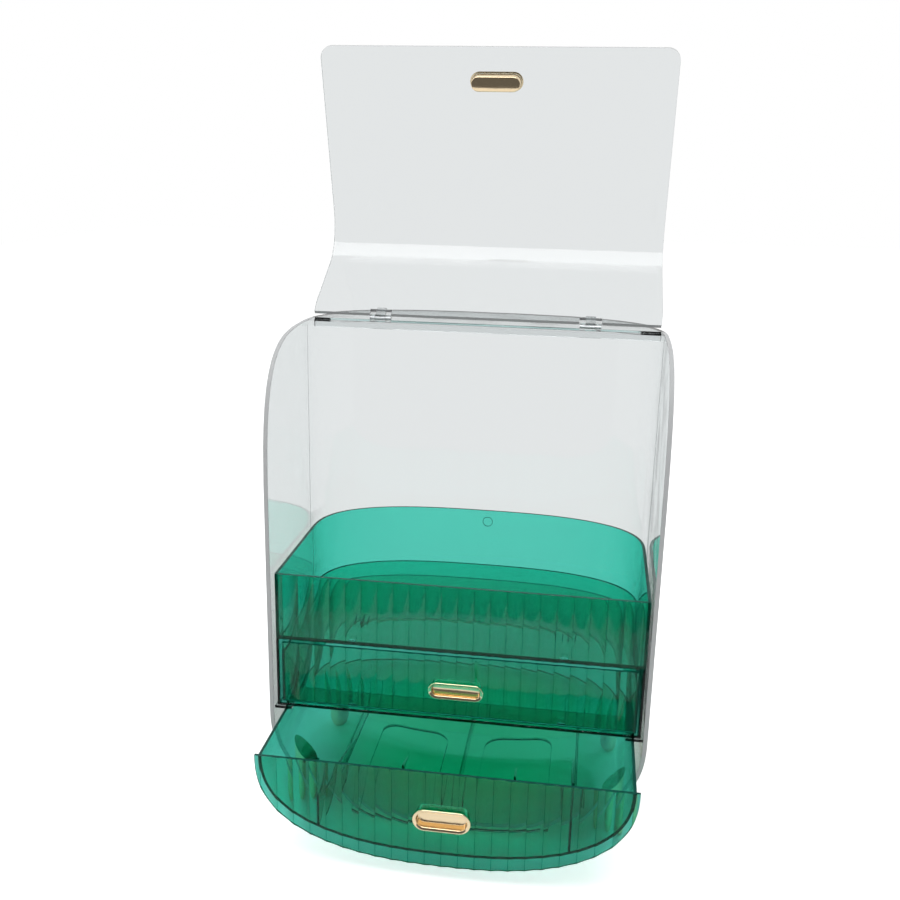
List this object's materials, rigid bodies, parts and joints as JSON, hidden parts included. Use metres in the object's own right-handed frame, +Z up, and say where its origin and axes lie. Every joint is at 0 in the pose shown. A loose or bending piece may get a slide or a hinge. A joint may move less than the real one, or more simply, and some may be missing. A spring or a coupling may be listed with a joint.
{
  "type": "makeup organizer",
  "caption": "Dustproof makeup organizer: clear round-bottomed case with a hinged flip lid, an open green tray, two green fluted-front drawers, gold flush pulls and peg feet.",
  "frame": {"origin": "floor under the middle of the bounding box, as the organizer stands with its lid open and its lower drawer part open", "axes": "+Z up, +Y to the back, +X to the right seen from the front"},
  "size_m": [0.27, 0.2452, 0.5539],
  "materials": {
    "clear_plastic": "clear, glossy moulded plastic",
    "green_plastic": "transparent emerald green, glossy moulded plastic",
    "gold": "polished gold plating",
    "steel": "drawn wire"
  },
  "bodies": {
    "root": {"case_shell": "clear_plastic", "foot_front_left": "gold", "foot_rear_left": "gold", "foot_front_right": "gold", "foot_rear_right": "gold", "hinge_pin_left": "steel", "hinge_pin_right": "steel", "upper_tray": "green_plastic", "upper_tray_front": "green_plastic", "drawer_housing": "green_plastic"},
    "lid": {"lid_panel": "clear_plastic", "lid_handle": "gold"},
    "middle_drawer": {"middle_drawer": "green_plastic", "middle_drawer_front": "green_plastic", "middle_handle": "gold"},
    "lower_drawer": {"lower_drawer": "green_plastic", "lower_drawer_front": "green_plastic", "lower_handle": "gold"}
  },
  "joints": [
    {"name": "lid_hinge", "type": "hinge", "parent": "root", "child": "lid", "pos_m": [0, 0.05306, 0.3575], "axis": [1, 0, 0], "range_deg": [0, 148.9]},
    {"name": "middle_drawer_slide", "type": "slide", "parent": "root", "child": "middle_drawer", "axis": [0, -1, 0], "range_m": [0, 0.12]},
    {"name": "lower_drawer_slide", "type": "slide", "parent": "root", "child": "lower_drawer", "axis": [0, -1, 0], "range_m": [-0.0584, 0.06]}
  ]
}
